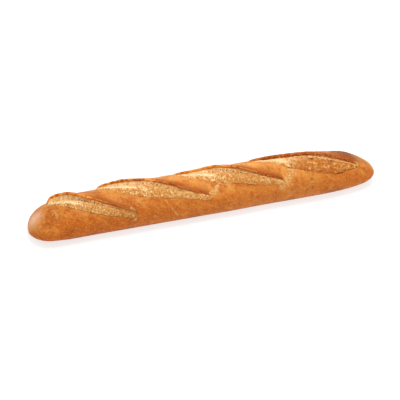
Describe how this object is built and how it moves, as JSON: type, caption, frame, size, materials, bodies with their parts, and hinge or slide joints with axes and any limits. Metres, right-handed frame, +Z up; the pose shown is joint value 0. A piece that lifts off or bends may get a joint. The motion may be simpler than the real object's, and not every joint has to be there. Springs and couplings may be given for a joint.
{
  "type": "baguette",
  "caption": "Long crusty white loaf with rounded tips, a flat base and slanting scores that opened into raised ears over pale crumb.",
  "frame": {"origin": "on the surface that the loaf lies on, under the middle of its bounding box", "axes": "+X along the loaf towards the longer, flatter tip, +Z up, and -Y towards the side that the scores run down to"},
  "size_m": [0.525, 0.0818, 0.0581],
  "materials": {
    "crust": "satin-matt golden brown baked crust, darker on the ears",
    "crumb": "matt cream crumb with small pores, toasted in spots"
  },
  "bodies": {
    "root": {"loaf": "crust"}
  },
  "joints": []
}
